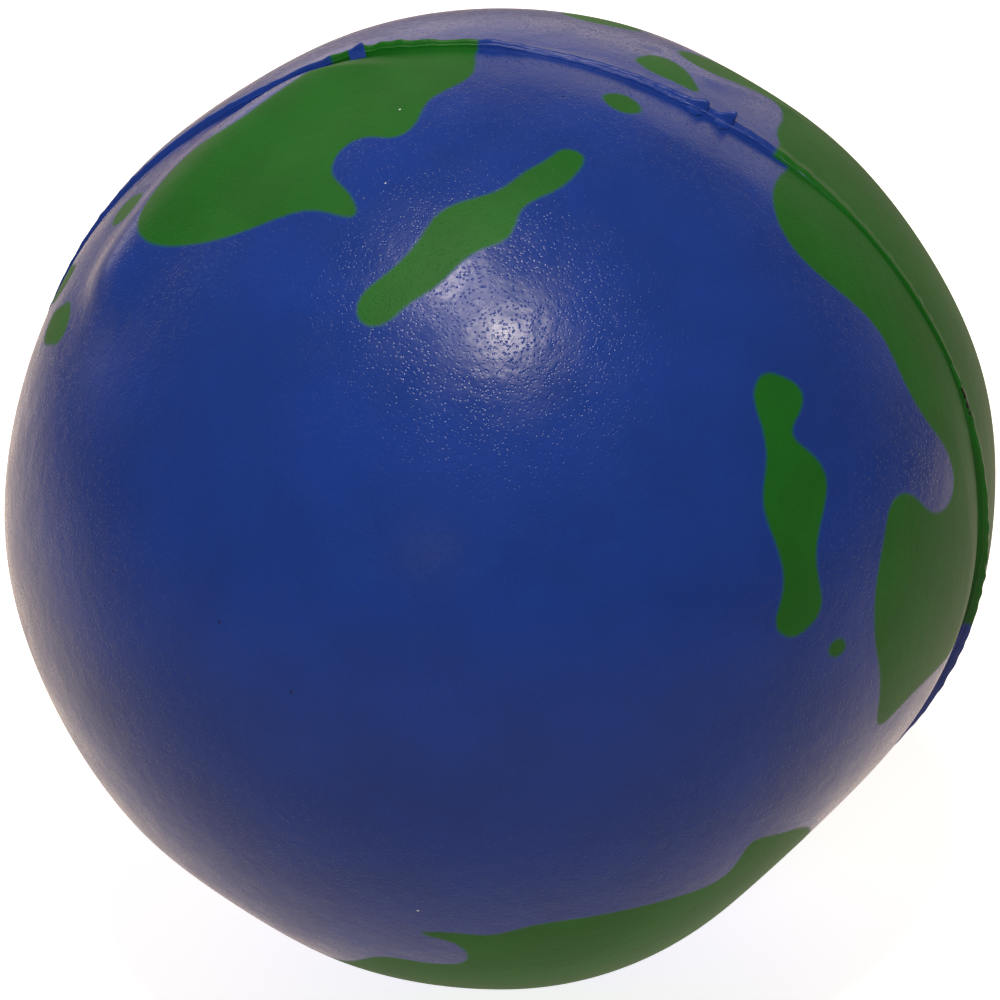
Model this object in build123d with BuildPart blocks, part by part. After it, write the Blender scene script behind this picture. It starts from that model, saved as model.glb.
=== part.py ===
"""A globe stress ball: self-skinned flexible foam, moulded in two halves and painted as a world map.

The ball's centre is the origin. The mould parted on the upright XZ plane, with the front half
towards -Y, so squeezing the ball flattens it along Y. Lengths are millimetres, angles degrees.
Directions from the centre are (polar, clock): degrees from the middle of the front half (-Y), and
degrees round that axis from +X towards +Z, so the parting line is at polar 90.
"""
from build123d import *
from math import cos, radians, sin
import os

# Driving dimensions
ball_diameter = 70.0  # over the blue coat
skin_thickness = 1.5  # dense rind that forms against the mould wall
coat_thickness = 0.2  # blue paint, sprayed into the mould before the foam is poured
land_thickness = 0.2  # green paint, sprayed through a mask on each half
core_gap = 0.3  # room in front of the core, so that the front half can move against it
flat_direction = (78, 320)  # middle of the flat where the foam sank as it cured
flat_depth = 2.6  # of the flat below the round
flat_radius = 157.0  # the flat is still slightly domed
flat_blend = 24.5  # rounds the flat into the ball
flash_width = 0.8  # foot of the thin fin left where the two mould halves met
flash_foot = 0.35  # height of that foot
crest_width = 0.35  # top of the fin
flash_height = 0.8  # whole height of the fin
land_margin = 0.15  # between a land film and the parting plane or the fin
tag_height = 0.9  # a torn scrap of fin that stands above the crest
tag_root = 0.4  # how far a tag's outline starts below the crest

# Offsets of each layer's faces from the outside of the blue coat
skin_offset = -coat_thickness
core_offset = skin_offset - skin_thickness
coat_radius = ball_diameter / 2

# Land outlines, as (polar, clock) points
front_land = {
    "land_northwest": [
        (95, 107), (95, 93), (88.5, 92.5), (83, 92), (77.5, 96), (74, 96.5), (71.5, 98.5),
        (72, 102.5), (70, 105.5), (67, 106), (63, 103), (60, 102), (61.5, 107), (62, 113), (62, 120),
        (64, 127), (68, 132.5), (70.5, 133), (74, 131.5), (78, 126.5), (79, 120), (82, 115),
        (88, 110),
    ],
    "land_diagonal_island": [
        (73, 78), (72.5, 76), (70, 76), (66, 78), (62.5, 81), (58.5, 81.5), (56, 85), (51, 89.5),
        (48, 94), (46, 97), (46.5, 100.5), (49, 101), (52, 97.5), (57, 93), (60, 91.5), (62, 89),
        (64.5, 84.5), (68, 82), (71.5, 79.5),
    ],
    "land_oval_islet": [(85.5, 76), (85.5, 73), (83.5, 72), (82, 73.5), (82.5, 76), (84, 77)],
    "land_east_front": [
        (95, 52), (90, 54), (84, 55), (80, 54), (76.5, 50), (76, 46), (77, 41), (78, 35), (77, 28),
        (78, 22), (80, 16.5), (79.5, 13.5), (75.5, 12), (72, 14), (69, 18), (66, 18.5), (63.5, 16),
        (60, 10), (59, 2), (60.5, 355), (63, 348), (66, 349), (71, 350.5), (78, 351), (86, 351.5),
        (95, 351), (98, 10), (98, 30),
    ],
    "land_long_island": [
        (60, 43.5), (61.5, 41), (62, 38), (60, 36.5), (57.5, 35.5), (58, 32), (58.5, 28),
        (55.5, 23.5), (52.5, 18.5), (52, 14.5), (51.5, 11.5), (49, 9.5), (46.5, 9.5), (45, 12.5),
        (46.5, 16), (48, 20.5), (48.5, 26), (49.5, 31), (52.5, 35), (55, 39.5), (57.5, 43.5),
    ],
    "land_dot_islet": [(53, 6), (54, 5.5), (54.5, 4), (53.5, 3), (52.5, 3), (51.5, 5)],
    "land_south": [
        (53, 254), (46, 258.5), (41.5, 263.5), (41.5, 271), (40.5, 277.5), (37, 279), (34, 276),
        (32.5, 271), (32, 276), (33.5, 286), (33.5, 295), (35, 302), (39, 311), (44.5, 318),
        (48.5, 324), (48, 331), (52, 331.5), (56.5, 331), (62, 327), (69, 317), (76, 303),
        (79, 286), (76, 269), (67, 256), (59, 252),
    ],
    "land_west_islet_low": [
        (75, 150), (72, 148.5), (69.5, 150), (69.5, 152), (71.5, 154), (76, 156), (77.5, 153.5),
    ],
    "land_west_islet_high": [
        (83, 149.5), (80.5, 149), (80, 151), (82, 155), (85.5, 156.5), (88, 155), (86.5, 151.5),
    ],
    "land_northwest_islet": [
        (81, 135.5), (79, 134.5), (77, 136), (77.5, 138.5), (80, 140.5), (82.5, 140), (82.5, 137),
    ],
}
back_land = {
    "land_east_back": [
        (84, 54), (90, 55), (94, 57), (99, 57), (103.5, 58), (102.5, 63), (101.5, 68.5), (104, 71.5),
        (108.5, 69), (113, 63), (118, 53), (121, 40), (119, 27), (114, 17), (109, 8), (103, 356),
        (96, 350.5), (84, 351), (82, 10), (82, 30),
    ],
    "land_crest_oval": [
        (97.5, 74.5), (99.5, 73), (98.5, 70), (95.5, 68), (93, 67), (93, 70), (93.5, 73.5),
        (95.5, 75.5),
    ],
    "land_crown_islet": [(107, 84.5), (107, 79), (109.5, 76.5), (113, 78), (113.5, 83), (110, 87)],
    "land_far_continent": [
        (118, 152), (113, 165), (116, 178), (112, 192), (119, 203), (128, 205), (133, 219),
        (146, 232), (155, 224), (152, 205), (158, 180), (150, 158), (139, 163), (134, 150),
        (125, 146),
    ],
    "land_far_peninsula": [
        (116, 300), (110, 309), (113, 321), (122, 327), (130, 336), (140, 345), (150, 341),
        (148, 326), (139, 318), (132, 304), (124, 294),
    ],
    "land_far_long_island": [
        (139, 92), (133, 100), (130, 111), (136, 118), (141, 109), (150, 102), (158, 84), (152, 72),
        (145, 80),
    ],
    "land_far_islet_low": [(104, 238), (100, 244), (103, 252), (109, 251), (110, 243)],
    "land_far_islet_high": [(113, 118), (110, 123), (113, 128), (118, 127), (119, 121)],
}

# Torn tags of fin: name, clock angle, width at the crest, and how far its tip leans along the line
flash_tags = [
    ("flash_tag_crown", 108.0, 1.6, 0.3),
    ("flash_tag_upper", 66.5, 1.2, -0.4),
    ("flash_tag_shoulder", 63.5, 1.4, -0.5),
    ("flash_tag_side", 21.0, 2.2, 0.6),
]


def direction(polar, clock):
    """The unit vector at these two angles."""
    across = sin(radians(polar))
    return Vector(across * cos(radians(clock)), -cos(radians(polar)), across * sin(radians(clock)))


def ball_form(offset):
    """The whole ball, this much outside the blue coat: a round with one sunken flat blended in."""
    outward = direction(*flat_direction)
    section = Plane(origin=(0, 0, 0), x_dir=outward, z_dir=outward.cross(Vector(0, 1, 0)))
    with BuildPart() as form:
        with BuildSketch(section) as profile:
            Circle(coat_radius + offset)
            with Locations((coat_radius - flat_depth - flat_radius, 0)):
                Circle(flat_radius + offset, mode=Mode.INTERSECT)
            corners = profile.vertices().group_by(Axis.Y)
            fillet([corners[0], corners[-1]], radius=flat_blend + offset)
            split(bisect_by=Plane.XZ, keep=Keep.BOTTOM)
        revolve(axis=Axis((0, 0, 0), outward))
    return form.part


def layer(inner, outer, low, high):
    """What lies between two offsets of the ball, from y = low to y = high."""
    with BuildPart() as shell:
        add(ball_form(outer))
        if inner is not None:
            add(ball_form(inner), mode=Mode.SUBTRACT)
        with Locations((0, (low + high) / 2, 0)):
            Box(2 * ball_diameter, high - low, 2 * ball_diameter, mode=Mode.INTERSECT)
    return shell.part


def land_film(outline, film_layer):
    """One painted patch: the layer inside a smooth closed outline, cut square to its middle."""
    points = [coat_radius * direction(polar, clock) for polar, clock in outline]
    middle = sum(points, Vector(0, 0, 0)).normalized()
    level = Vector(0, 0, 1).cross(middle).normalized()
    plane = Plane(origin=(0, 0, 0), x_dir=level, z_dir=middle)
    with BuildPart() as film:
        with BuildSketch(plane):
            with BuildLine():
                Spline(*[(p.dot(plane.x_dir), p.dot(plane.y_dir)) for p in points], periodic=True)
            make_face()
        extrude(amount=ball_diameter)
        add(film_layer, mode=Mode.INTERSECT)
    return film


def finish(piece, name):
    """Label a finished piece and write it."""
    piece.part.label = name
    export_step(piece.part, f"parts/{name}.step")


os.makedirs("parts", exist_ok=True)
front_end, back_end = -ball_diameter, ball_diameter

# Foam core: one open-celled ball, set back a little under the front half
with BuildPart() as foam_core:
    add(layer(None, core_offset - core_gap, front_end, 0))
    add(layer(None, core_offset, 0, back_end))
finish(foam_core, "foam_core")

# Skin and blue coat of each half
for half, low, high in (("front", front_end, 0), ("back", 0, back_end)):
    with BuildPart() as skin:
        add(layer(core_offset, skin_offset, low, high))
    finish(skin, f"skin_{half}")
    with BuildPart() as sea_coat:
        add(layer(skin_offset, 0, low, high))
    finish(sea_coat, f"sea_coat_{half}")

# Green land films of each half, clear of the fin
for outlines, low, high in (
    (front_land, front_end, -land_margin),
    (back_land, flash_width + land_margin, back_end),
):
    film_layer = layer(0, land_thickness, low, high)
    for name, outline in outlines.items():
        finish(land_film(outline, film_layer), name)

# Parting-line fin, on the back half's edge of the mould: a foot and a thinner crest
with BuildPart() as parting_flash:
    add(layer(0, flash_foot, 0, flash_width))
    add(layer(0, flash_height, 0, crest_width))
finish(parting_flash, "parting_flash")

# Torn tags: leaning triangles of fin that stand on the crest
fin = ball_form(flash_height)
for name, clock, width, lean in flash_tags:
    crest = coat_radius + flash_height
    tag_plane = Plane(origin=(0, crest_width, 0), x_dir=direction(90, clock), z_dir=(0, -1, 0))
    with BuildPart() as flash_tag:
        with BuildSketch(tag_plane):
            with BuildLine():
                Polyline(
                    (crest - tag_root, -width / 2),
                    (crest + tag_height, lean * width),
                    (crest - tag_root, width / 2),
                    close=True,
                )
            make_face()
        extrude(amount=crest_width)
        add(fin, mode=Mode.SUBTRACT)
    finish(flash_tag, name)
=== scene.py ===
"""A globe stress ball: moulded soft foam with a sprayed blue sea, masked green lands and a torn fin of flash.

Run as a script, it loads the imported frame, builds every piece around it and sets a pale studio. The
ball's centre is the origin, the mould parted on the XZ plane, and the front half is towards -Y. A
direction is a pair of angles: polar, from the middle of the front half, and clock, round that axis
from +X towards +Z. Lengths are metres and angles are radians, unless a name says millimetres or degrees.
"""
from math import atan2, cos, hypot, pi, radians, sin, sqrt, tan

import bpy
import numpy as np
from bpy.props import FloatProperty, FloatVectorProperty, IntProperty, PointerProperty, StringProperty
from mathutils import Matrix, Vector


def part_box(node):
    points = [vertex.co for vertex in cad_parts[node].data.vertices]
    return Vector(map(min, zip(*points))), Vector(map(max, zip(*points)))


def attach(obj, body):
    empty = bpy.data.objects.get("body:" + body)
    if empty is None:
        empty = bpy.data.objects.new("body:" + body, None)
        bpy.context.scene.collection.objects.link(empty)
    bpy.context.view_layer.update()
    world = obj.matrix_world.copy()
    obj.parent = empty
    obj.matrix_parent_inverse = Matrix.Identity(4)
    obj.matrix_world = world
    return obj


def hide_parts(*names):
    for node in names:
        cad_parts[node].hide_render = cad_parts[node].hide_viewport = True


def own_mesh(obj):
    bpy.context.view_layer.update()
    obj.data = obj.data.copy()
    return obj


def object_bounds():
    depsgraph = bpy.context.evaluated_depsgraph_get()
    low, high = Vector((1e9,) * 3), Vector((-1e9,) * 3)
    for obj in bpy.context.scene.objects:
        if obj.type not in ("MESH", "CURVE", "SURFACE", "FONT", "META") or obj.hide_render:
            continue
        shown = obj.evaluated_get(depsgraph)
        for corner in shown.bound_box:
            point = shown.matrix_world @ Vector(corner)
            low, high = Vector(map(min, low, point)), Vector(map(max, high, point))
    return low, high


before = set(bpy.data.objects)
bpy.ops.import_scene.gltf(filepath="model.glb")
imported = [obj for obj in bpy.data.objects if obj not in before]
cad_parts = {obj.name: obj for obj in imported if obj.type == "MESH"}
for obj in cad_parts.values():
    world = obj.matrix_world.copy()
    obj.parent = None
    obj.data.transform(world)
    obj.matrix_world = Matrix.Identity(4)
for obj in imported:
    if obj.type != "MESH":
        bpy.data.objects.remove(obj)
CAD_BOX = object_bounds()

bl_info = {
    "name": "Globe Stress Ball",
    "version": (1, 0, 0),
    "blender": (4, 5, 0),
    "location": "3D View > Sidebar > Stress Ball",
    "description": "Builds a moulded foam stress ball with a painted globe, piece by piece, in a pale studio",
    "category": "Object",
}

MM = 0.001

# Sizes that the frame settles
BALL_RADIUS = -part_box("sea_coat_back")[0].x
COAT_THICKNESS = BALL_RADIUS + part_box("skin_back")[0].x
CORE_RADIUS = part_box("foam_core")[1].y
FLASH_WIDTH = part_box("parting_flash")[1].y
FRONT_LANDS = sorted(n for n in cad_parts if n.startswith("land_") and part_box(n)[0].y < 0)
BACK_LANDS = sorted(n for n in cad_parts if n.startswith("land_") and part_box(n)[0].y > 0)
FLASH_TAGS = sorted(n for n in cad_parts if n.startswith("flash_tag_"))

# Where the cured foam swelled or sank a little: polar and clock in degrees, height in millimetres and
# spread in degrees
SWELLS = (
    (108, 12, 0.55, 15),
    (75, 186, 0.50, 16),
    (61, 239, -0.60, 10),
    (106, 129, -0.50, 12),
    (119, 62, -0.35, 10),
    (100.3, 74.3, -0.12, 1.6),
)

# Long soft folds in the skin: the two ends as polar and clock in degrees, height and half width in
# millimetres
FOLDS = (
    ((98.5, 66), (105.5, 56), 0.16, 1.1),
    ((87.5, 108), (78.5, 120.5), 1.10, 3.6),
    ((78.5, 120.5), (68, 137.5), 1.10, 3.6),
)

# Round the parting line, by clock in degrees and in millimetres: how far the front half sank beside it,
# how far from the line that sinking starts, how far the fin stands over the back half, how wide a ledge
# the torn fin left half way up its front, and how far the line strays from its plane to the back
SHOULDER = (
    (0, 0.75), (12, 0.45), (22, 0.15), (45, 0.12), (52, 0.35), (60, 0.50), (70, 0.62), (80, 0.38),
    (88, 0.10), (100, 0.02), (108, 0.10), (114, 0.60), (121, 0.68), (130, 0.52), (140, 0.36),
    (150, 0.20), (162, 0.12), (200, 0.25), (300, 0.35), (310, 1.25), (318, 1.85), (326, 1.90), (334, 1.70),
    (342, 1.30), (351, 0.90),
)
SHOULDER_REACH = (
    (0, 5.0), (30, 4.0), (60, 6.0), (85, 5.0), (108, 2.5), (118, 5.0), (128, 7.5), (138, 9.0), (160, 8.0),
    (200, 5.0), (300, 6.0), (312, 10.0), (324, 13.0), (334, 11.5), (343, 9.0),
)
FIN_RISE = (
    (0, 0.10), (20, 0.03), (45, 0.03), (60, 0.10), (70, 0.02), (80, 0.10), (88, 0.36), (93, 0.70),
    (107, 0.72), (111, 0.50), (116, 0.12), (122, 0.02), (150, 0.04), (200, 0.20), (300, 0.25),
    (325, 0.12), (350, 0.12),
)
LEDGE = ((0, 0.0), (46, 0.0), (54, 0.12), (84, 0.14), (92, 0.01), (100, 0.0), (200, 0.0))
STRAY = (
    (0, 0.0), (40, 0.0), (52, 0.15), (66, 0.25), (78, 0.55), (90, 0.2), (98, 0.0), (180, 0.1), (270, -0.1),
)

# What is made once and shared
MADE = {}


def length(name, description, default):
    """A property that holds a length."""
    return FloatProperty(name=name, description=description, default=default, unit="LENGTH")


def paint(name, description, default):
    """A property that holds a colour as sRGB hex."""
    return StringProperty(name=name, description=description, default=default)


class BallSizes(bpy.types.PropertyGroup):
    """The moulded ball's form."""

    radius: length("Radius", "Outside of the blue coat", BALL_RADIUS)
    coat: length("Coat", "Thickness of the blue coat", COAT_THICKNESS)
    core_radius: length("Core radius", "Inside of the dense rind", CORE_RADIUS)
    core_gap: length("Core gap", "Room in front of the core", 0.3 * MM)
    flat_polar: FloatProperty(name="Flat polar", description="Polar angle of the sunken flat",
                              default=radians(78), subtype="ANGLE")
    flat_clock: FloatProperty(name="Flat clock", description="Clock angle of the sunken flat",
                              default=radians(320), subtype="ANGLE")
    flat_depth: length("Flat depth", "Sink of the flat below the round", 2.6 * MM)
    flat_radius: length("Flat radius", "Dome of the flat", 157 * MM)
    flat_blend: length("Flat blend", "Rounding from flat to ball", 24.5 * MM)
    fold_fade: length("Fold fade", "How far from the parting line the folds reach their height", 3.0 * MM)
    film_lift: length("Film lift", "Green paint's height over the blue", 0.006 * MM)
    film_depth: length("Film depth", "How far a film's underside lies in the blue coat", 0.1 * MM)
    film_margin: length("Film margin", "Feathered spray beyond a land's outline", 1.1 * MM)
    film_grid: length("Film grid", "Spacing of a film's mesh", 0.24 * MM)
    fin_foot: length("Fin foot", "Where the fin's back slope meets the ball", FLASH_WIDTH * 1.5)
    seed: IntProperty(name="Seed", description="Picks the raggedness of the torn fin", default=7)


class BallFinish(bpy.types.PropertyGroup):
    """Colours as sRGB hex, and the real sizes of the skin's relief."""

    blue: paint("Blue", "Sprayed sea coat", "#153588")
    blue_dark: paint("Dark blue", "Where the coat is thicker", "#143280")
    green: paint("Green", "Sprayed lands", "#0E5C14")
    green_dark: paint("Dark green", "Where the land paint is thicker", "#0D5612")
    # Painted shade: the dark that fills the gaps where the fin tore through
    tear: paint("Tear", "Shadowed foam in a torn fin", "#0A140C")
    # Painted highlight: a pale colour on the lip of the fin's ledge stands for the sheen that the edge
    # catches
    lip_sheen_colour: paint("Chafed", "Rubbed lip of the torn fin", "#8A97D2")
    speck: paint("Speck", "Pale dust in the paint", "#C8CDD6")
    pinhole: paint("Pinhole", "Burst bubbles in the paint", "#0C1230")
    rind: paint("Rind", "Dense foam rind", "#D9D2BE")
    foam: paint("Foam", "Open-celled core", "#E6DFC9")
    lamp: paint("Lamp", "Colour of the lamps", "#FFF1E2")
    surround: paint("Surround", "Warm light from the room and the floor", "#FFEBD8")
    floor: paint("Floor", "Studio floor", "#F4F4F2")
    pit_spacing: length("Pit spacing", "Between pits in the skin", 0.26 * MM)
    pit_depth: length("Pit depth", "Depth of the pits", 0.018 * MM)
    grain_depth: length("Grain depth", "Depth of the grain between pits", 0.006 * MM)
    peel_depth: length("Peel depth", "Depth of the soft orange peel", 0.045 * MM)
    spray_edge: length("Spray edge", "Width of the soft edge of a land", 0.42 * MM)
    cell: length("Foam cell", "Cell size in the core", 0.8 * MM)


class StudioSettings(bpy.types.PropertyGroup):
    """The camera and the light."""

    azimuth: FloatProperty(name="Azimuth", description="Camera's turn from -Y towards +X",
                           default=radians(11.9), subtype="ANGLE")
    elevation: FloatProperty(name="Elevation", description="Camera's height angle", default=radians(27.3),
                             subtype="ANGLE")
    distance: length("Distance", "From the ball's centre", 525 * MM)
    lens: FloatProperty(name="Lens", description="Focal length in millimetres", default=264.4)
    offset: FloatVectorProperty(name="Offset",
                                description="Camera's place across and up from the line to the centre",
                                size=2, default=(-0.064 * MM, -0.086 * MM), unit="LENGTH")
    key_tilt: FloatVectorProperty(
        name="Key tilt", description="The main lamp's lit spot, across and up from the camera's line", size=2,
        default=(radians(0.4), radians(18.7)), subtype="EULER",
    )
    second_tilt: FloatVectorProperty(name="Second tilt", description="The second lamp's lit spot", size=2,
                                     default=(radians(-6.6), radians(25.8)), subtype="EULER")
    fill_tilt: FloatVectorProperty(name="Fill tilt", description="The fill lamp's place in the same measure",
                                   size=2, default=(radians(-8), radians(-6)), subtype="EULER")
    fill_power: FloatProperty(name="Fill power", description="Of the fill lamp, in watts", default=1.3)
    key_distance: length("Key distance", "Of the main lamp", 700 * MM)
    key_size: length("Key size", "Diameter of the main lamp", 110 * MM)
    key_power: FloatProperty(name="Key power", description="Of the main lamp, in watts", default=2.5)
    second_power: FloatProperty(name="Second power", description="Of the lamp beside it, in watts",
                                default=2.0)
    surround: FloatProperty(name="Surround", description="Brightness behind and around the ball", default=1.0)
    behind: FloatProperty(name="Behind", description="How much brighter it is straight behind the ball",
                          default=2.0)
    card_way: FloatVectorProperty(name="Card way", description="Direction from the ball to that card",
                                  default=(-0.65, 0.74, 0.16), subtype="XYZ")
    card: FloatProperty(name="Card", description="Brightness of the white card behind on the left",
                        default=0.9)
    dark_side: FloatProperty(name="Dark side", description="Brightness on the camera's side", default=0.2)
    floor_glow: FloatProperty(name="Floor glow", description="Light through the translucent floor",
                              default=0.75)


# ---------------------------------------------------------------- the ball's surface


def ray_of(polar, clock):
    """Unit rays at these angles."""
    across = np.sin(polar)
    ahead = -np.cos(polar) * np.ones_like(clock)
    return np.stack((across * np.cos(clock), ahead, across * np.sin(clock)), -1)


def form_radius(rays, sizes):
    """The moulded form's radius along each ray: a round with one sunken flat blended in."""
    along = np.clip(rays @ ray_of(sizes.flat_polar, sizes.flat_clock), -1, 1)
    across = np.sqrt(1 - along**2)
    off_axis = np.arctan2(across, along)
    dome_back = sizes.flat_radius - (sizes.radius - sizes.flat_depth)
    dome_reach = sizes.flat_radius - sizes.flat_blend
    round_reach = sizes.radius - sizes.flat_blend
    blend_x = (dome_reach**2 - round_reach**2 - dome_back**2) / (2 * dome_back)
    blend_y = sqrt(round_reach**2 - blend_x**2)
    round_end = atan2(blend_y, blend_x)
    dome_scale = sizes.flat_radius / hypot(blend_x + dome_back, blend_y)
    dome_end = atan2(blend_y * dome_scale, (blend_x + dome_back) * dome_scale - dome_back)

    def to_arc(x, y, arc_radius):
        towards = along * x + across * y
        return towards + np.sqrt(np.maximum(towards**2 - (x * x + y * y - arc_radius**2), 0))

    blended = np.where(
        off_axis <= dome_end,
        to_arc(-dome_back, 0, sizes.flat_radius),
        to_arc(blend_x, blend_y, sizes.flat_blend),
    )
    return np.where(off_axis >= round_end, sizes.radius, blended)


def round_line(table, clock):
    """A table's value in metres at each clock angle, smooth all the way round."""
    places, values = zip(*table)
    whole = np.interp(np.arange(720) / 2, places, values, period=360)
    for _ in range(30):
        whole = (np.roll(whole, 1) + 2 * whole + np.roll(whole, -1)) / 4
    return np.interp(np.degrees(clock), np.arange(720) / 2, whole, period=360) * MM


def parting_polar(clock, sizes):
    """The polar angle of the parting line at each clock angle."""
    return pi / 2 + round_line(STRAY, clock) / sizes.radius


def before_line(rays, sizes):
    """How far each ray passes in front of the parting line, and its clock angle."""
    clock = np.arctan2(rays[..., 2], rays[..., 0])
    polar = np.arccos(np.clip(-rays[..., 1], -1, 1))
    return (parting_polar(clock, sizes) - polar) * sizes.radius, clock


def near_fold(rays, start, end, radius):
    """Distance over the ball from each ray to the fold between two directions."""
    first = ray_of(radians(start[0]), radians(start[1])) * radius
    run = ray_of(radians(end[0]), radians(end[1])) * radius - first
    places = rays * radius - first
    share = np.clip(places @ run / (run @ run), 0, 1)
    return np.linalg.norm(places - share[..., None] * run, axis=-1)


def coat_radius(rays, sizes):
    """The blue coat's radius along each ray, with the cured foam's swells, folds and sunken shoulder."""
    radius = form_radius(rays, sizes)
    relief = np.zeros_like(radius)
    for polar, clock, height, spread in SWELLS:
        apart = np.arccos(np.clip(rays @ ray_of(radians(polar), radians(clock)), -1, 1))
        relief += height * MM * np.exp(-((apart / radians(spread)) ** 2))
    before, clock = before_line(rays, sizes)
    fold = np.zeros_like(radius)
    for start, end, height, half_width in FOLDS:
        apart = near_fold(rays, start, end, sizes.radius)
        fold = np.maximum(fold, height * MM * np.exp(-((apart / (half_width * MM)) ** 2)))
    relief += fold * np.clip(np.abs(before) / sizes.fold_fade, 0, 1)
    near = np.clip(1 - before / round_line(SHOULDER_REACH, clock), 0, 1)
    sunk = round_line(SHOULDER, clock) * near**1.25
    return radius + relief - np.where(before > -0.001 * MM, sunk, 0)


# ---------------------------------------------------------------- meshes


def lathe(rows, segments):
    """Faces of a grid of rings, closed into a point at both ends. Points are numbered ring by ring,
    then the first end's point, then the last end's."""
    ring = np.arange(segments)
    turn = (ring + 1) % segments
    starts = np.arange(rows - 1)[:, None] * segments
    quads = np.stack((starts + ring, starts + turn, starts + segments + turn, starts + segments + ring), -1)
    first, last = rows * segments, rows * segments + 1
    final = (rows - 1) * segments
    caps = np.concatenate((
        np.stack((np.full(segments, first), turn, ring), -1),
        np.stack((np.full(segments, last), final + ring, final + turn), -1),
    ))
    return quads.reshape(-1, 4), caps


def tube(rows, segments):
    """Faces of a grid of rings whose last ring joins the first."""
    ring = np.arange(segments)
    turn = (ring + 1) % segments
    starts = np.arange(rows)[:, None] * segments
    nexts = ((np.arange(rows) + 1) % rows)[:, None] * segments
    return np.stack((starts + ring, starts + turn, nexts + turn, nexts + ring), -1).reshape(-1, 4)


def new_piece(name, points, face_sets, material, depths=None, painted_tear_shade_and_lip_sheen=None):
    """A smooth mesh object with its faces turned outwards. depths says how far inside a land's outline
    each point is, and the last array where painted shade fills the fin's torn gaps, or, where it is negative,
    where a painted highlight lies on its ledge's lip."""
    volume = sum(
        (np.cross(points[faces[:, 0]], points[faces[:, k]]) * points[faces[:, k + 1]]).sum()
        for faces in face_sets for k in range(1, faces.shape[1] - 1)
    )
    if volume < 0:
        face_sets = [faces[:, ::-1] for faces in face_sets]
    mesh = bpy.data.meshes.new(name)
    mesh.vertices.add(len(points))
    mesh.vertices.foreach_set("co", np.ascontiguousarray(points, np.float32).ravel())
    counts = np.concatenate([np.full(len(faces), faces.shape[1]) for faces in face_sets])
    mesh.loops.add(int(counts.sum()))
    mesh.loops.foreach_set("vertex_index", np.concatenate([f.ravel() for f in face_sets]).astype(np.int32))
    mesh.polygons.add(len(counts))
    mesh.polygons.foreach_set("loop_start", (np.cumsum(counts) - counts).astype(np.int32))
    mesh.update(calc_edges=True)
    mesh.validate()
    mesh.polygons.foreach_set("use_smooth", np.ones(len(mesh.polygons), bool))
    for attribute, values in (("land_depth", depths), ("torn", painted_tear_shade_and_lip_sheen)):
        if values is not None:
            layer = mesh.attributes.new(attribute, "FLOAT", "POINT")
            layer.data.foreach_set("value", values.astype(np.float32))
    mesh.materials.append(material)
    piece = bpy.data.objects.new(name, mesh)
    bpy.context.scene.collection.objects.link(piece)
    return piece


def settle(piece, node):
    """Put a piece in a CAD node's place: the node is hidden and the piece hangs on the back half's body."""
    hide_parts(node)
    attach(piece, "back_half")
    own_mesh(piece)


def ragged(clock, seed, waves):
    """A ragged curve round the parting line, about -1 to 1. waves are how many waves go round, each
    with its share of the whole."""
    draw = np.random.default_rng(seed)
    curve = np.zeros_like(clock)
    for (fewest, most), share in waves:
        for count in range(fewest, most, max(1, (most - fewest) // 12)):
            curve += share * np.sin(count * clock + draw.uniform(0, 2 * pi)) * draw.uniform(0.3, 1) / 3
    return curve


# ---------------------------------------------------------------- land outlines


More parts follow.
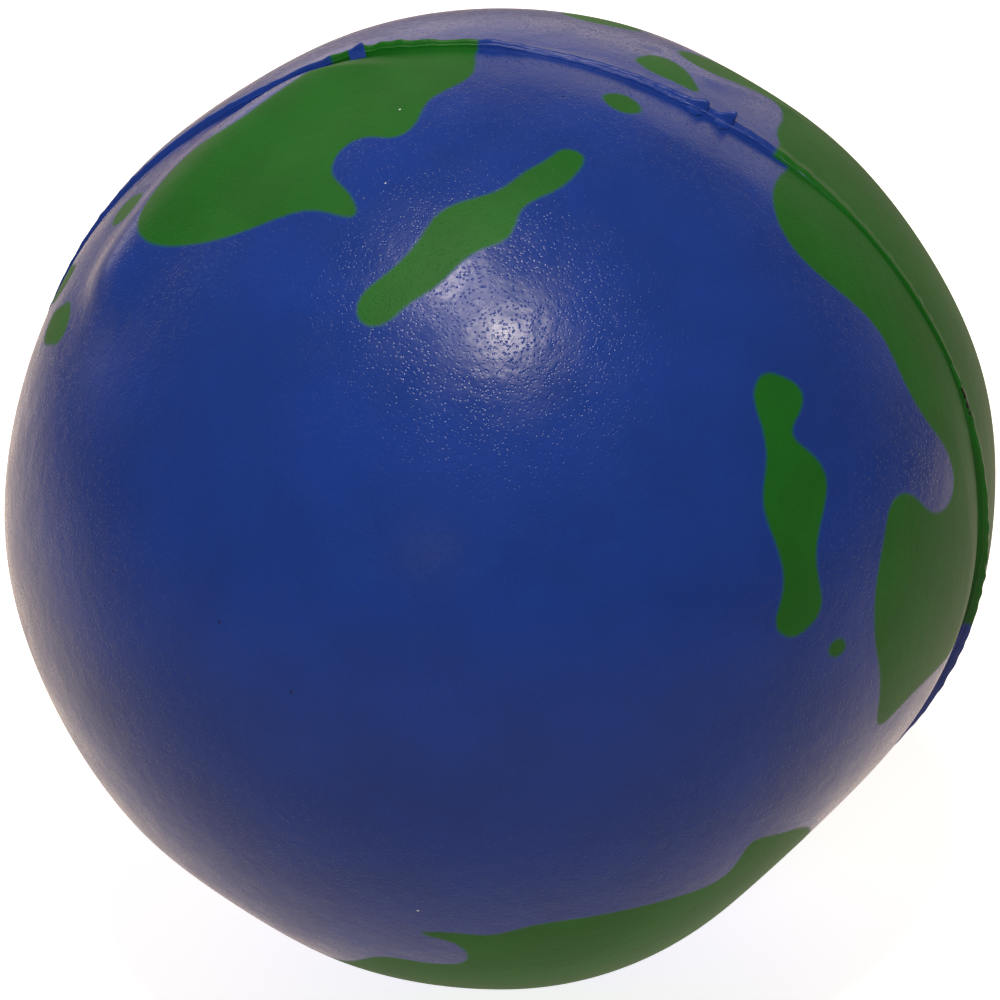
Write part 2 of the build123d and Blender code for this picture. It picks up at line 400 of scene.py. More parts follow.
class Land:
    """A land's painted outline, read from its CAD film and unrolled flat about its middle."""

    def __init__(self, node, sizes):
        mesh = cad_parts[node].data
        points = np.array([v.co for v in mesh.vertices])
        triangles = np.array([p.vertices for p in mesh.polygons if len(p.vertices) == 3])
        grid = np.round(points / (0.002 * MM))
        _, first, weld = np.unique(grid, axis=0, return_index=True, return_inverse=True)
        points, triangles = points[first], weld.ravel()[triangles]
        reach = np.linalg.norm(points, axis=1)
        outer = reach - form_radius(points / reach[:, None], sizes) > 0.1 * MM
        cap = triangles[outer[triangles].all(1)]
        edges = {(a, b) for tri in cap.tolist() for a, b in zip(tri, tri[1:] + tri[:1])}
        follow = {a: b for a, b in edges if (b, a) not in edges}
        loops = []
        while follow:
            start, at = follow.popitem()
            loop = [start]
            while at in follow:
                loop.append(at)
                at = follow.pop(at)
            loops.append(loop)
        outline = points[max(loops, key=len)]
        self.front = node in FRONT_LANDS
        at_line = np.abs(outline[:, 1]) < FLASH_WIDTH * 1.25 if not self.front else outline[:, 1] > -0.25 * MM
        self.reaches_line = bool(at_line.any())
        outline[at_line, 1] += (3 if self.front else -4) * MM
        self.radius = sizes.radius
        middle = (outline / np.linalg.norm(outline, axis=1)[:, None]).mean(0)
        self.middle = middle / np.linalg.norm(middle)
        level = np.cross((0, 0, 1), self.middle)
        self.level = level / np.linalg.norm(level)
        self.rise = np.cross(self.middle, self.level)
        self.outline = self.even(self.flat(outline / np.linalg.norm(outline, axis=1)[:, None]), 0.3 * MM)

    def flat(self, rays):
        """Where rays meet the ball, unrolled flat about the land's middle."""
        off = np.arccos(np.clip(rays @ self.middle, -1, 1))
        across = np.stack((rays @ self.level, rays @ self.rise), -1)
        return across * (self.radius * off / np.maximum(np.linalg.norm(across, axis=-1), 1e-9))[..., None]

    def rays(self, flat):
        """The rays through flat points."""
        off = np.linalg.norm(flat, axis=-1, keepdims=True) / self.radius
        side = flat / np.maximum(off * self.radius, 1e-9)
        sideways = side[..., :1] * self.level + side[..., 1:] * self.rise
        return np.cos(off) * self.middle + np.sin(off) * sideways

    @staticmethod
    def even(outline, spacing):
        """The closed outline at even spacing, with its facets smoothed away."""
        closed = np.vstack((outline, outline[:1]))
        length = np.concatenate(((0,), np.cumsum(np.linalg.norm(np.diff(closed, axis=0), axis=1))))
        steps = np.linspace(0, length[-1], int(length[-1] / spacing), endpoint=False)
        points = np.stack([np.interp(steps, length, closed[:, k]) for k in (0, 1)], -1)
        for _ in range(3):
            points = (np.roll(points, 1, 0) + 2 * points + np.roll(points, -1, 0)) / 4
        return points

    def depth(self, flat):
        """How far inside the outline each flat point is, negative outside."""
        starts = self.outline
        runs = np.roll(starts, -1, 0) - starts
        rise = np.where(runs[:, 1] == 0, 1e-12, runs[:, 1])
        depths = np.empty(len(flat))
        for block in range(0, len(flat), 2048):
            points = flat[block:block + 2048, None]
            gap = points - starts
            share = np.clip((gap * runs).sum(-1) / (runs**2).sum(-1), 0, 1)
            near = np.sqrt(((gap - share[..., None] * runs) ** 2).sum(-1).min(1))
            crosses = (gap[..., 1] < 0) != (gap[..., 1] < runs[:, 1])
            left = gap[..., 0] < gap[..., 1] * runs[:, 0] / rise
            depths[block:block + 2048] = np.where((crosses & left).sum(1) % 2 == 1, near, -near)
        return depths

    def depth_along(self, rays):
        """How far inside the outline each ray passes. Far rays count as far outside."""
        depths = np.full(len(rays), -1.0)
        near = rays @ self.middle > 0.5
        depths[near] = self.depth(self.flat(rays[near]))
        return depths


def lands_of(sizes, names):
    """The lands of these nodes, each read once."""
    for name in names:
        if name not in MADE:
            MADE[name] = Land(name, sizes)
    return [MADE[name] for name in names]


def deepest(lands, rays):
    """How far inside any of the lands that reach the parting line each ray passes."""
    return np.max([land.depth_along(rays) for land in lands if land.reaches_line], axis=0)


# ---------------------------------------------------------------- materials

POLYURETHANE_IOR = 1.5
PAINT_SPECULAR = 0.25
FOAM_SPECULAR = 0.2
SEA_SHEEN = 0.25
SHEEN_ROUGHNESS = 0.2
SHEEN_TINT = "#FFE9DC"


def linear(colour):
    """A linear RGBA colour from an sRGB hex value."""
    parts = [int(colour[k:k + 2], 16) / 255 for k in (1, 3, 5)]
    return [c / 12.92 if c <= 0.04045 else ((c + 0.055) / 1.055) ** 2.4 for c in parts] + [1]


def add_node(tree, kind, inputs=None, **settings):
    """A node with its settings; each input is given another node's output or a plain value."""
    node = tree.nodes.new(kind)
    for setting, value in settings.items():
        setattr(node, setting, value)
    for socket, value in (inputs or {}).items():
        if isinstance(value, bpy.types.NodeSocket):
            tree.links.new(value, node.inputs[socket])
        else:
            node.inputs[socket].default_value = value
    return node


def new_material(name):
    """An empty material, its node tree, and the place on the object that its patterns lie on."""
    material = bpy.data.materials.new(name)
    material.use_nodes = True
    material.node_tree.nodes.clear()
    place = add_node(material.node_tree, "ShaderNodeTexCoord").outputs["Object"]
    return material, material.node_tree, place


def finish_material(tree, colour, roughness, normal, specular=PAINT_SPECULAR, sheen=0.0):
    """The surface shader. IOR, specular level and sheen are the same all over, so they sit on the shader."""
    shader = add_node(tree, "ShaderNodeBsdfPrincipled", {
        "Base Color": colour, "Roughness": roughness, "Normal": normal, "IOR": POLYURETHANE_IOR,
        "Specular IOR Level": specular, "Sheen Weight": sheen, "Sheen Roughness": SHEEN_ROUGHNESS,
        "Sheen Tint": linear(SHEEN_TINT),
    })
    add_node(tree, "ShaderNodeOutputMaterial", {"Surface": shader.outputs[0]})


def blend_colour(tree, share, first, second):
    """The first colour turning into the second."""
    return add_node(tree, "ShaderNodeMix", {0: share, 6: first, 7: second}, data_type="RGBA").outputs[2]


def blend_value(tree, share, first, second):
    """The first value turning into the second."""
    return add_node(tree, "ShaderNodeMix", {0: share, 2: first, 3: second}).outputs[0]


def product(tree, first, second, clamp=False):
    """Two values multiplied, and kept between 0 and 1 if clamp is set."""
    return add_node(tree, "ShaderNodeMath", {0: first, 1: second}, operation="MULTIPLY",
                    use_clamp=clamp).outputs[0]


def ramp(tree, value, low, high, start=0.0, end=1.0):
    """A smooth step between two values."""
    return add_node(tree, "ShaderNodeMapRange", {0: value, 1: low, 2: high, 3: start, 4: end},
                    interpolation_type="SMOOTHSTEP").outputs[0]


def noise(tree, place, size, detail=2.0):
    """Soft noise whose patches are this wide."""
    settings = {"Vector": place, "Scale": 1 / size, "Detail": detail}
    return add_node(tree, "ShaderNodeTexNoise", settings).outputs[0]


def spots(tree, place, spacing, radius, share):
    """Round spots of this radius in a share of the cells of this spacing: 1 in a spot, 0 outside."""
    cells = add_node(tree, "ShaderNodeTexVoronoi", {"Vector": place, "Scale": 1 / spacing})
    chance = add_node(tree, "ShaderNodeSeparateColor", {0: cells.outputs["Color"]}).outputs[0]
    spot = ramp(tree, cells.outputs["Distance"], radius / spacing, 0.6 * radius / spacing)
    picked = add_node(tree, "ShaderNodeMath", {0: chance, 1: share}, operation="LESS_THAN").outputs[0]
    return product(tree, spot, picked)


def skin_relief(tree, place, finish):
    """Moulded skin: close burst-bubble pits of uneven depth, a fine grain between them and a soft
    orange peel. They break the lamp's reflection into dark dots, sparkles and cloudy patches."""
    cells = add_node(tree, "ShaderNodeTexVoronoi", {"Vector": place, "Scale": 1 / finish.pit_spacing})
    pit = ramp(tree, cells.outputs["Distance"], 0.05, 0.44)
    chance = add_node(tree, "ShaderNodeSeparateColor", {0: cells.outputs["Color"]}).outputs[1]
    pits = blend_value(tree, ramp(tree, chance, -0.8, 0.8), 1.0, pit)
    pitted = add_node(tree, "ShaderNodeBump", {
        "Strength": 1.0, "Distance": finish.pit_depth, "Height": pits,
    }).outputs[0]
    grained = add_node(tree, "ShaderNodeBump", {
        "Strength": 1.0, "Distance": finish.grain_depth,
        "Height": noise(tree, place, 1.5 * finish.pit_spacing, 2.0), "Normal": pitted,
    }).outputs[0]
    return add_node(tree, "ShaderNodeBump", {
        "Strength": 1.0, "Distance": finish.peel_depth, "Height": noise(tree, place, 1.3 * MM, 2.0),
        "Normal": grained,
    }).outputs[0]


def blue_paint(tree, place, finish):
    """Blue spray: clouds of thicker and thinner paint, pale dust and burst pinholes."""
    clouds = ramp(tree, noise(tree, place, 7 * MM, 5.0), 0.35, 0.65)
    paint = blend_colour(tree, clouds, linear(finish.blue), linear(finish.blue_dark))
    dusty = blend_colour(tree, spots(tree, place, 5.5 * MM, 0.11 * MM, 0.35), paint, linear(finish.speck))
    return blend_colour(tree, spots(tree, place, 4.3 * MM, 0.13 * MM, 0.4), dusty, linear(finish.pinhole))


def green_paint(tree, place, finish):
    """Green spray over the blue: clouds, and a finer dry grain than the coat below."""
    clouds = ramp(tree, noise(tree, place, 5 * MM, 5.0), 0.35, 0.65)
    paint = blend_colour(tree, clouds, linear(finish.green), linear(finish.green_dark))
    return blend_colour(tree, spots(tree, place, 6.1 * MM, 0.10 * MM, 0.3), paint, linear(finish.speck))


def spray_share(tree, place, finish):
    """How green a point is: a soft edge, a little ragged at the scale of spray drops."""
    depth = add_node(tree, "ShaderNodeAttribute", attribute_name="land_depth").outputs["Fac"]
    grain = noise(tree, place, 0.25 * MM, 3.0)
    wander = ramp(tree, grain, 0.2, 0.8, -0.04 * MM, 0.04 * MM)
    moved = add_node(tree, "ShaderNodeMath", {0: depth, 1: wander}, operation="ADD").outputs[0]
    return ramp(tree, moved, -finish.spray_edge / 2, finish.spray_edge / 2)


def sea_material(finish):
    """Flexible polyurethane foam, in-mould sprayed: satin blue, and pale and milky at a glancing angle."""
    material, tree, place = new_material("polyurethane_skin_mould_sprayed_blue")
    roughness = ramp(tree, noise(tree, place, 3 * MM), 0.3, 0.7, 0.23, 0.30)
    relief = skin_relief(tree, place, finish)
    finish_material(tree, blue_paint(tree, place, finish), roughness, relief, sheen=SEA_SHEEN)
    return material


def land_material(finish):
    """Polyurethane paint, mask-sprayed: a drier green that hides the gloss, with a feathered edge."""
    material, tree, place = new_material("polyurethane_paint_mask_sprayed_green")
    share = spray_share(tree, place, finish)
    colour = blend_colour(tree, share, blue_paint(tree, place, finish), green_paint(tree, place, finish))
    roughness = blend_value(tree, share, 0.27, 0.58)
    finish_material(tree, colour, roughness, skin_relief(tree, place, finish))
    return material


def flash_material(finish):
    """Polyurethane flash, torn by hand: the coats' own colours, rubbed matt, with painted shade in the gaps
    where it tore and a painted highlight on its ledge's lip.
    """
    material, tree, place = new_material("polyurethane_flash_hand_torn")
    share = spray_share(tree, place, finish)
    paint = blend_colour(tree, share, blue_paint(tree, place, finish), green_paint(tree, place, finish))
    torn = add_node(tree, "ShaderNodeAttribute", attribute_name="torn").outputs["Fac"]
    ripped = ramp(tree, noise(tree, place, 0.35 * MM, 3.0), 0.47, 0.53)
    gap = product(tree, torn, ripped, clamp=True)
    # Painted shade: the dark tear colour fills the fin's torn gaps
    paint_with_tear_shade = blend_colour(tree, gap, paint, linear(finish.tear))
    # The ledge lip's painted highlight is stored as negative values of the torn attribute, so a negative
    # share picks it
    lip_sheen_share = ramp(tree, noise(tree, place, 0.6 * MM, 3.0), 0.35, 0.65, -0.05, -0.6)
    colour = blend_colour(tree, product(tree, torn, lip_sheen_share, clamp=True), paint_with_tear_shade, linear(finish.lip_sheen_colour))
    grain = add_node(tree, "ShaderNodeBump", {
        "Strength": 1.0, "Distance": 0.04 * MM, "Height": noise(tree, place, 0.3 * MM, 4.0),
    }).outputs[0]
    finish_material(tree, colour, blend_value(tree, share, 0.35, 0.45), grain)
    return material


def foam_material(name, colour, cell, depth, roughness):
    """Polyurethane foam, blown in the mould, with no shine; the hollow of each cell is painted darker as
    shade.
    """
    material, tree, place = new_material(name)
    cells = add_node(tree, "ShaderNodeTexVoronoi", {"Vector": place, "Scale": 1 / cell})
    open_cell = ramp(tree, cells.outputs["Distance"], 0.1, 0.55)
    # Painted shade: each cell's hollow is darkened to about half the foam's colour
    shade = blend_colour(tree, open_cell, [0.55 * c for c in linear(colour)[:3]] + [1], linear(colour))
    relief = add_node(tree, "ShaderNodeBump", {"Strength": 1.0, "Distance": depth, "Height": open_cell})
    finish_material(tree, shade, roughness, relief.outputs[0], FOAM_SPECULAR)
    return material


def stored(make, *arguments):
    """A material made once and shared by like pieces."""
    if make.__name__ not in MADE:
        MADE[make.__name__] = make(*arguments)
    return MADE[make.__name__]


# ---------------------------------------------------------------- operators, one for each group of pieces


class MakeFoamCore(bpy.types.Operator):
    """Build the open-celled foam core"""

    bl_idname = "stress_ball.foam_core"
    bl_label = "Foam Core"

    def execute(self, context):
        sizes, finish = context.scene.ball_sizes, context.scene.ball_finish
        rows, segments = 150, 300
        polar = np.linspace(0, pi, rows + 2)[1:-1]
        clock = np.arange(segments) * 2 * pi / segments
        rays = ray_of(polar[:, None], clock[None]).reshape(-1, 3)
        rays = np.vstack((rays, ((0, -1, 0), (0, 1, 0))))
        below = sizes.radius - sizes.core_radius + np.where(rays[:, 1] < 0, sizes.core_gap, 0)
        draw = np.random.default_rng(sizes.seed)
        cells = draw.uniform(-0.12, 0, len(rays)) * MM
        points = rays * (form_radius(rays, sizes) - below + cells)[:, None]
        material = foam_material("polyurethane_foam_open_celled", finish.foam, finish.cell, 0.3 * MM, 0.9)
        piece = new_piece("foam_core_blown", points, lathe(rows, segments), material)
        settle(piece, "foam_core")
        return {"FINISHED"}


def half_shell(sizes, front, outside, inside, steps, inner_steps, segments):
    """Points and faces of one half's layer, from its outer face round the parting edge to its inner
    face. outside and inside turn rays into radii. Rings crowd towards the parting line."""
    share = np.linspace(0, 1, steps + 1)[1:]
    outer = 1 - (1 - share) ** 1.25
    inner = np.linspace(1, 0, inner_steps + 1)[:-1]
    clock = np.arange(segments) * 2 * pi / segments
    pole = np.array([[0.0, -1.0 if front else 1.0, 0.0]])
    line = parting_polar(clock, sizes)
    rays, radii = [], []
    for shares, face in ((outer, outside), (inner, inside)):
        polar = shares[:, None] * line if front else pi - shares[:, None] * (pi - line - 1e-6)
        rays.append(ray_of(polar, np.broadcast_to(clock, polar.shape)).reshape(-1, 3))
        radii.append(face(rays[-1]))
    points = np.vstack([r * d[:, None] for r, d in zip(rays, radii)] + [pole * outside(pole)[:, None],
                                                                      pole * inside(pole)[:, None]])
    return points, lathe(steps + inner_steps, segments)


class MakeSkins(bpy.types.Operator):
    """Build the dense rind of each half"""

    bl_idname = "stress_ball.skins"
    bl_label = "Skins"

    def execute(self, context):
        sizes, finish = context.scene.ball_sizes, context.scene.ball_finish
        material = foam_material("polyurethane_rind_self_skinned", finish.rind, 0.25 * MM, 0.05 * MM, 0.7)
        for half, front in (("front", True), ("back", False)):
            points, faces = half_shell(
                sizes, front,
                lambda rays: coat_radius(rays, sizes) - sizes.coat,
                lambda rays: form_radius(rays, sizes) - (sizes.radius - sizes.core_radius),
                90, 60, 320,
            )
            piece = new_piece(f"skin_{half}_rind", points, faces, material)
            settle(piece, f"skin_{half}")
        return {"FINISHED"}


class MakeSeaCoats(bpy.types.Operator):
    """Build the blue coat of each half"""

    bl_idname = "stress_ball.sea_coats"
    bl_label = "Sea Coats"

    def execute(self, context):
        sizes, finish = context.scene.ball_sizes, context.scene.ball_finish
        material = stored(sea_material, finish)
        for half, front in (("front", True), ("back", False)):
            points, faces = half_shell(
                sizes, front,
                lambda rays: coat_radius(rays, sizes),
                lambda rays: coat_radius(rays, sizes) - sizes.coat,
                160, 16, 540,
            )
            piece = new_piece(f"sea_coat_{half}_sprayed", points, faces, material)
            settle(piece, f"sea_coat_{half}")
        return {"FINISHED"}


class MakeLandFilms(bpy.types.Operator):
    """Build the green land films, each feathered at its outline and cut at the parting line"""

    bl_idname = "stress_ball.land_films"
    bl_label = "Land Films"

    def execute(self, context):
        sizes, finish = context.scene.ball_sizes, context.scene.ball_finish
        material = stored(land_material, finish)
        for land, node in zip(lands_of(sizes, FRONT_LANDS + BACK_LANDS), FRONT_LANDS + BACK_LANDS):
            points, faces, depths = film_mesh(land, sizes)
            piece = new_piece(f"{node}_film", points, faces, material, depths=depths)
            settle(piece, node)
        return {"FINISHED"}


def film_mesh(land, sizes):
    """A land's film: a fine grid over the outline and its feathered margin, fitted to that edge, with
    its upper face just over the blue coat, its margin dipping under it, and a closed underside."""
    step = sizes.film_grid

    def room(flat):
        """How far a flat point is inside the film's own edge."""
        before = before_line(land.rays(flat), sizes)[0]
        beside = before - 0.02 * MM if land.front else -before - FLASH_WIDTH / 2
        return np.minimum(land.depth(flat) + sizes.film_margin, beside)

    low = land.outline.min(0) - sizes.film_margin - 2 * step
    counts = np.ceil((land.outline.max(0) + sizes.film_margin + 2 * step - low) / step).astype(int)
    across, up = np.meshgrid(np.arange(counts[0]), np.arange(counts[1]), indexing="ij")
    flat = low + np.stack((across, up), -1).reshape(-1, 2) * step
    inside = room(flat)
    number = np.arange(len(flat)).reshape(counts)
    cells = np.stack((number[:-1, :-1], number[1:, :-1], number[1:, 1:], number[:-1, 1:]), -1).reshape(-1, 4)
    cells = cells[(inside[cells] > 0).sum(1) >= 2]
    used, cells = np.unique(cells, return_inverse=True)
    cells = cells.reshape(-1, 4)
    flat, inside = flat[used], inside[used]
    out = np.flatnonzero(inside < 0)
    for _ in range(3):
        here, nudge = flat[out], 0.02 * MM
        level = room(here)
        slope = np.stack([(room(here + side) - level) / nudge for side in ((nudge, 0), (0, nudge))], -1)
        steep = np.maximum((slope**2).sum(-1, keepdims=True), 0.25)
        flat[out] = here - np.clip(level[:, None] * slope / steep, -step, step)
    depths = land.depth(flat)
    rays = land.rays(flat)
    feather = np.clip((depths + sizes.film_margin) / (sizes.film_margin * 0.8), 0, 1)
    lift = sizes.film_lift * (feather * feather * (3 - 2 * feather)) - 0.002 * MM
    radius = coat_radius(rays, sizes)
    points = np.vstack((rays * (radius + lift)[:, None], rays * (radius - sizes.film_depth)[:, None]))
    edges = np.concatenate([cells[:, (k, (k + 1) % 4)] for k in range(4)])
    total = len(flat)
    codes = edges[:, 0] * total + edges[:, 1]
    rim = edges[~np.isin(codes, edges[:, 1] * total + edges[:, 0])]
    walls = np.stack((rim[:, 1], rim[:, 0], rim[:, 0] + total, rim[:, 1] + total), -1)
    return points, [cells, cells[:, ::-1] + total, walls], np.tile(depths, 2)


class MakeFlash(bpy.types.Operator):
    """Build the thin ragged fin along the parting line"""

    bl_idname = "stress_ball.parting_flash"
    bl_label = "Parting Flash"

    def execute(self, context):
        sizes, finish = context.scene.ball_sizes, context.scene.ball_finish
        stations = 2200
        clock = np.arange(stations) * 2 * pi / stations
        broad = ragged(clock, sizes.seed, (((5, 40), 0.5), ((60, 130), 0.3)))
        beads = ragged(clock, sizes.seed + 3, (((70, 190), 0.9),))
        height = np.maximum(round_line(FIN_RISE, clock) * (1 + 0.25 * broad) + 0.04 * MM * beads, 0.03 * MM)
        foot = -round_line(SHOULDER, clock)
        ledge = round_line(LEDGE, clock) * (1 + 0.2 * broad)
        middle = foot + (height - foot) * (0.5 + 0.1 * ragged(clock, sizes.seed + 1, (((20, 60), 0.6),)))
        sway = 0.03 * MM * ragged(clock, sizes.seed + 2, (((10, 40), 0.6), ((90, 200), 0.4)))
        under = foot - 0.3 * MM
        flush = np.full(stations, -0.01 * MM)
        width = sizes.fin_foot
        # The fin's section, from under the front edge over the crest and back under: how far behind the
        # parting line, and how high over the back half
        section = (
            (-0.40 * MM, under), (-0.14 * MM - ledge, foot - 0.05 * MM),
            (-0.07 * MM - ledge, foot + 0.05 * MM),
            (-0.05 * MM - ledge, middle - 0.10 * MM), (-0.045 * MM - ledge * 1.1, middle - 0.03 * MM),
            (-0.04 * MM - ledge, middle), (-0.03 * MM - ledge * 0.3, middle - 0.01 * MM),
            (0, middle + 0.1 * MM), (0.06 * MM, height - 0.04 * MM), (0.14 * MM, height),
            (0.26 * MM, height * 0.95), (0.40 * MM, height * 0.62), (width * 0.6, height * 0.2),
            (width * 0.85, height * 0.04), (width, flush), (width, under), (width * 0.4, under - 0.1 * MM),
        )
        line = parting_polar(clock, sizes)
        base = coat_radius(ray_of(line + 0.01 * MM / sizes.radius, clock), sizes)
        rings = []
        for behind, rise in section:
            lean = np.where(rise > 0, sway, 0)
            rings.append(ray_of(line + (behind + lean) / sizes.radius, clock) * (base + rise)[:, None])
        points = np.stack(rings).reshape(-1, 3)
        front = deepest(lands_of(sizes, FRONT_LANDS), ray_of(line - radians(1.2), clock))
        back = deepest(lands_of(sizes, BACK_LANDS), ray_of(line + radians(2.0), clock))
        green = np.stack([np.maximum(front, back) if k < 11 else back for k in range(len(section))]).ravel()
        tear = np.exp(-(((np.degrees(clock) - 18.6) / 2.6) ** 4))
        # At one place the fin is torn right through; its gaps are painted dark as shade rather than cut.
        # Along its ledge's edge a pale painted highlight stands for the sheen that the edge catches
        lip = -np.clip(ledge / (0.2 * MM), 0, 1) * (0.65 + 0.35 * beads)
        torn = np.stack([
            lip if k in (4, 5) else tear if 3 <= k <= 10 else 0 * tear for k in range(len(section))
        ]).ravel()
        piece = new_piece("parting_flash_torn", points, [tube(len(section), stations)],
                          stored(flash_material, finish), depths=green, painted_tear_shade_and_lip_sheen=torn)
        settle(piece, "parting_flash")
        return {"FINISHED"}


class MakeFlashTags(bpy.types.Operator):
    """Build the torn scraps of fin that stand on the crest"""

    bl_idname = "stress_ball.flash_tags"
    bl_label = "Flash Tags"

    # Each scrap's lobe down the front, reach over the crest, half length and shift along the line, in
    # millimetres, and whether the green spray missed it
    SHAPES = {
        "flash_tag_crown": (0.10, 0.30, 0.60, 0.8, True),
        "flash_tag_upper": (0.95, 0.42, 0.85, -0.28, True),
        "flash_tag_shoulder": (1.05, 0.72, 0.70, -0.10, True),
        "flash_tag_side": (0.05, 0.06, 0.90, 0.0, False),
    }

    def execute(self, context):
        sizes, finish = context.scene.ball_sizes, context.scene.ball_finish
        lands = lands_of(sizes, FRONT_LANDS + BACK_LANDS)
        for number, node in enumerate(FLASH_TAGS):
            points, faces = self.scrap_mesh(node, sizes, np.random.default_rng(sizes.seed + number))
            rays = points / np.linalg.norm(points, axis=1)[:, None]
            depths = np.full(len(points), -MM) if self.SHAPES[node][4] else deepest(lands, rays)
            piece = new_piece(f"{node}_scrap", points, faces, stored(flash_material, finish),
                              depths=depths, painted_tear_shade_and_lip_sheen=np.zeros(len(points)))
            settle(piece, node)
        return {"FINISHED"}

    def scrap_mesh(self, node, sizes, draw):
        """A flap of torn fin: it climbs slowly along the line and ends in a sharp tear, and a lobe of it
        hangs over the front half. Its rings go round the flap's section."""
        lobe, reach, half, shift = (MM * size for size in self.SHAPES[node][:4])
        low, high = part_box(node)
        along = np.linspace(-1, 1, 30)
        clock = atan2(low.z + high.z, low.x + high.x) - (shift + along * half) / sizes.radius
        ragged_edge = 1 + 0.12 * np.convolve(draw.uniform(-1, 1, 34), (0.2, 0.2, 0.2, 0.2, 0.2), "valid")
        climb = np.clip((along + 1) / 1.5, 0, 1) ** 1.3 * np.clip((1 - along) / 0.22, 0, 1) ** 0.5
        climb *= ragged_edge
        hang = np.clip(1 - (along / 0.9) ** 2, 0, 1) * ragged_edge
        line = parting_polar(clock, sizes)
        base = coat_radius(ray_of(line + 0.01 * MM / sizes.radius, clock), sizes)
        crest = base + round_line(FIN_RISE, clock)
        foot = base - round_line(SHOULDER, clock)
        # Up the flap's front: how far in front of the line, and the radius there, or None to lie on the ball
        front = (
            (0.10 * MM + lobe * hang, None), (0.10 * MM + lobe * hang * 0.7, None),
            (0.12 * MM + lobe * hang * 0.3, None), (0.10 * MM, foot * 0.6 + base * 0.4),
            (0.04 * MM, crest - 0.03 * MM), (-0.02 * MM, crest + reach * climb * 0.5),
            (-0.10 * MM, crest + reach * climb),
        )
        rings = []
        for thick, sink in ((0.0, 0.0), (0.16 * MM, 0.05 * MM)):
            side = []
            for before, radius in front:
                ray = ray_of(line - before / sizes.radius, clock)
                reached = coat_radius(ray, sizes) + 0.03 * MM if radius is None else radius
                side.append(ray * (reached - sink)[:, None] + np.array((0, thick, 0)))
            rings += side if thick == 0 else side[::-1]
        grid = np.stack(rings, 1)
        ends = np.stack((grid[0].mean(0), grid[-1].mean(0)))
        return np.vstack((grid.reshape(-1, 3), ends)), lathe(len(along), len(rings))


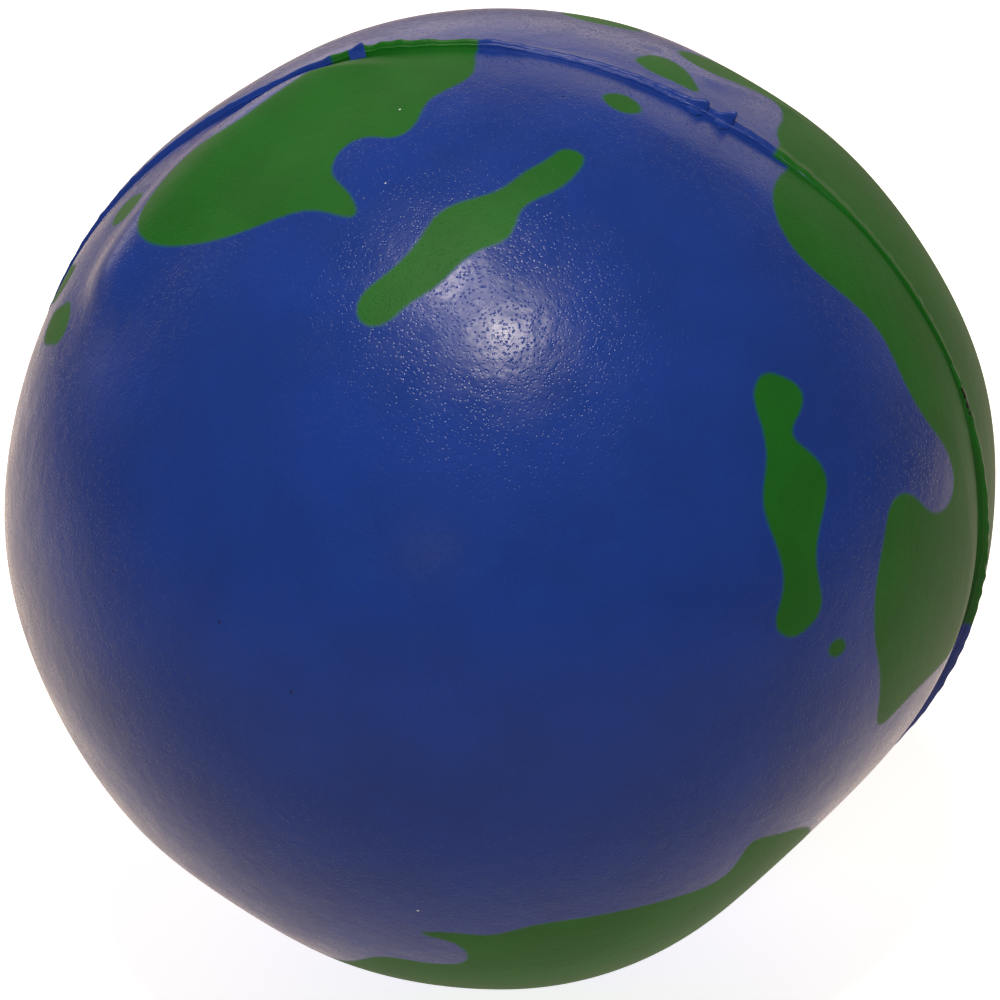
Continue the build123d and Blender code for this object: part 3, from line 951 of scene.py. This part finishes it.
class MakeStudio(bpy.types.Operator):
    """Set the pale floor, the soft lamps, the surroundings and the camera"""

    bl_idname = "stress_ball.studio"
    bl_label = "Studio"

    def execute(self, context):
        scene = context.scene
        studio, finish = scene.studio, scene.ball_finish
        across = sin(studio.azimuth)
        back = -cos(studio.azimuth)
        view = Vector((across * cos(studio.elevation), back * cos(studio.elevation), sin(studio.elevation)))
        right = Vector((-back, across, 0))
        up = view.cross(right)

        camera = bpy.data.objects.new("camera", bpy.data.cameras.new("camera"))
        camera.data.lens = studio.lens
        camera.data.clip_start = 10 * MM
        place = view * studio.distance + right * studio.offset[0] + up * studio.offset[1]
        turn = Matrix((right, up, view)).transposed().to_4x4()
        camera.matrix_world = Matrix.Translation(place) @ turn
        scene.collection.objects.link(camera)
        scene.camera = camera

        for name, tilt, power, size in (
            ("key_lamp", studio.key_tilt, studio.key_power, studio.key_size),
            ("second_lamp", studio.second_tilt, studio.second_power, studio.key_size * 0.8),
            ("fill_lamp", studio.fill_tilt, studio.fill_power, studio.key_size * 1.4),
        ):
            lamp = bpy.data.lights.new(name, "AREA")
            lamp.shape = "DISK"
            lamp.size = size
            lamp.energy = power
            lamp.color = linear(finish.lamp)[:3]
            # The lit spot's normal halves the angle between the lamp and the camera
            normal = (view + right * tan(tilt[0]) + up * tan(tilt[1])).normalized()
            towards = 2 * normal.dot(view) * normal - view
            holder = bpy.data.objects.new(name, lamp)
            holder.location = towards * studio.key_distance
            holder.rotation_euler = towards.to_track_quat("Z", "Y").to_euler()
            holder.visible_glossy = name != "fill_lamp"
            scene.collection.objects.link(holder)

        self.make_floor(scene, studio, finish)
        self.make_world(scene, studio, view)
        scene.view_settings.view_transform = "Standard"
        return {"FINISHED"}

    def make_floor(self, scene, studio, finish):
        """A round sheet of matt acrylic, lit a little from below."""
        turn = np.arange(64) * 2 * pi / 64
        rim = np.stack((np.cos(turn) * 6, np.sin(turn) * 6, np.full(64, CAD_BOX[0][2])), -1)
        mesh = bpy.data.meshes.new("studio_floor")
        mesh.from_pydata(rim.tolist(), [], [list(range(64))])
        material, tree, place = new_material("acrylic_sheet_matt")
        tone = ramp(tree, noise(tree, place, 400 * MM), 0.3, 0.7, 0.97, 1.0)
        pale = linear(finish.floor)[:3]
        colour = add_node(tree, "ShaderNodeVectorMath", {0: pale, 3: tone}, operation="SCALE")
        glow_middle = (25 * MM, 70 * MM, 0)
        away = add_node(tree, "ShaderNodeVectorMath", {0: place, 1: glow_middle}, operation="DISTANCE")
        back = add_node(tree, "ShaderNodeSeparateXYZ", {0: place}).outputs["Y"]
        near = ramp(tree, away.outputs["Value"], 40 * MM, 330 * MM, 1.4 * studio.floor_glow, 0.02)
        glow = product(tree, near, ramp(tree, back, -60 * MM, 15 * MM, 0.35, 1.0))
        seen = add_node(tree, "ShaderNodeLightPath").outputs["Is Camera Ray"]
        glow = blend_value(tree, seen, glow, studio.floor_glow)
        tint = blend_colour(tree, seen, linear(finish.surround), (1, 1, 1, 1))
        shown = blend_colour(tree, seen, (0.3, 0.27, 0.23, 1), colour.outputs[0])
        shader = add_node(tree, "ShaderNodeBsdfPrincipled", {
            "Base Color": shown, "Roughness": 0.8, "Emission Color": tint,
            "Emission Strength": glow,
        })
        add_node(tree, "ShaderNodeOutputMaterial", {"Surface": shader.outputs[0]})
        mesh.materials.append(material)
        floor = bpy.data.objects.new("studio_floor", mesh)
        scene.collection.objects.link(floor)

    def make_world(self, scene, studio, view):
        """White cloth behind and around the ball, and a dim room on the camera's side."""
        world = bpy.data.worlds.new("studio_surround")
        world.use_nodes = True
        tree = world.node_tree
        tree.nodes.clear()
        ray = add_node(tree, "ShaderNodeTexCoord").outputs["Generated"]
        facing = add_node(tree, "ShaderNodeVectorMath", {0: ray, 1: view}, operation="DOT_PRODUCT")
        facing = facing.outputs["Value"]
        glow = ramp(tree, facing, cos(radians(100)), cos(radians(125)), studio.dark_side, studio.surround)
        behind = ramp(tree, facing, cos(radians(140)), cos(radians(160)), 1.0, studio.behind)
        glow = product(tree, glow, behind)
        card_way = Vector(studio.card_way).normalized()
        toward = add_node(tree, "ShaderNodeVectorMath", {0: ray, 1: card_way}, operation="DOT_PRODUCT")
        card = ramp(tree, toward.outputs["Value"], cos(radians(28)), cos(radians(14)), 0.0, studio.card)
        glow = add_node(tree, "ShaderNodeMath", {0: glow, 1: card}, operation="ADD").outputs[0]
        warm = linear(scene.ball_finish.surround)[:3]
        cloth = add_node(tree, "ShaderNodeVectorMath", {0: warm, 3: glow}, operation="SCALE")
        shade = add_node(tree, "ShaderNodeBackground", {"Color": cloth.outputs[0]})
        plain = add_node(tree, "ShaderNodeBackground", {"Color": linear(scene.ball_finish.floor)})
        seen = add_node(tree, "ShaderNodeLightPath").outputs["Is Camera Ray"]
        both = add_node(tree, "ShaderNodeMixShader", {0: seen, 1: shade.outputs[0], 2: plain.outputs[0]})
        add_node(tree, "ShaderNodeOutputWorld", {"Surface": both.outputs[0]})
        scene.world = world


OPERATORS = (MakeFoamCore, MakeSkins, MakeSeaCoats, MakeLandFilms, MakeFlash, MakeFlashTags, MakeStudio)


class StressBallPanel(bpy.types.Panel):
    """The sidebar's list of pieces and sizes"""

    bl_idname = "VIEW3D_PT_stress_ball"
    bl_label = "Stress Ball"
    bl_space_type = "VIEW_3D"
    bl_region_type = "UI"
    bl_category = "Stress Ball"

    def draw(self, context):
        for operator in OPERATORS:
            self.layout.operator(operator.bl_idname)
        for group in (context.scene.ball_sizes, context.scene.ball_finish, context.scene.studio):
            box = self.layout.box()
            for name in group.__annotations__:
                box.prop(group, name)


CLASSES = (BallSizes, BallFinish, StudioSettings, *OPERATORS, StressBallPanel)


def register():
    for cls in CLASSES:
        bpy.utils.register_class(cls)
    bpy.types.Scene.ball_sizes = PointerProperty(type=BallSizes)
    bpy.types.Scene.ball_finish = PointerProperty(type=BallFinish)
    bpy.types.Scene.studio = PointerProperty(type=StudioSettings)


def unregister():
    del bpy.types.Scene.studio
    del bpy.types.Scene.ball_finish
    del bpy.types.Scene.ball_sizes
    for cls in reversed(CLASSES):
        bpy.utils.unregister_class(cls)


def main():
    """Register the add-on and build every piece."""
    register()
    for operator in OPERATORS:
        group, name = operator.bl_idname.split(".")
        getattr(getattr(bpy.ops, group), name)()


if __name__ == "__main__":
    main()
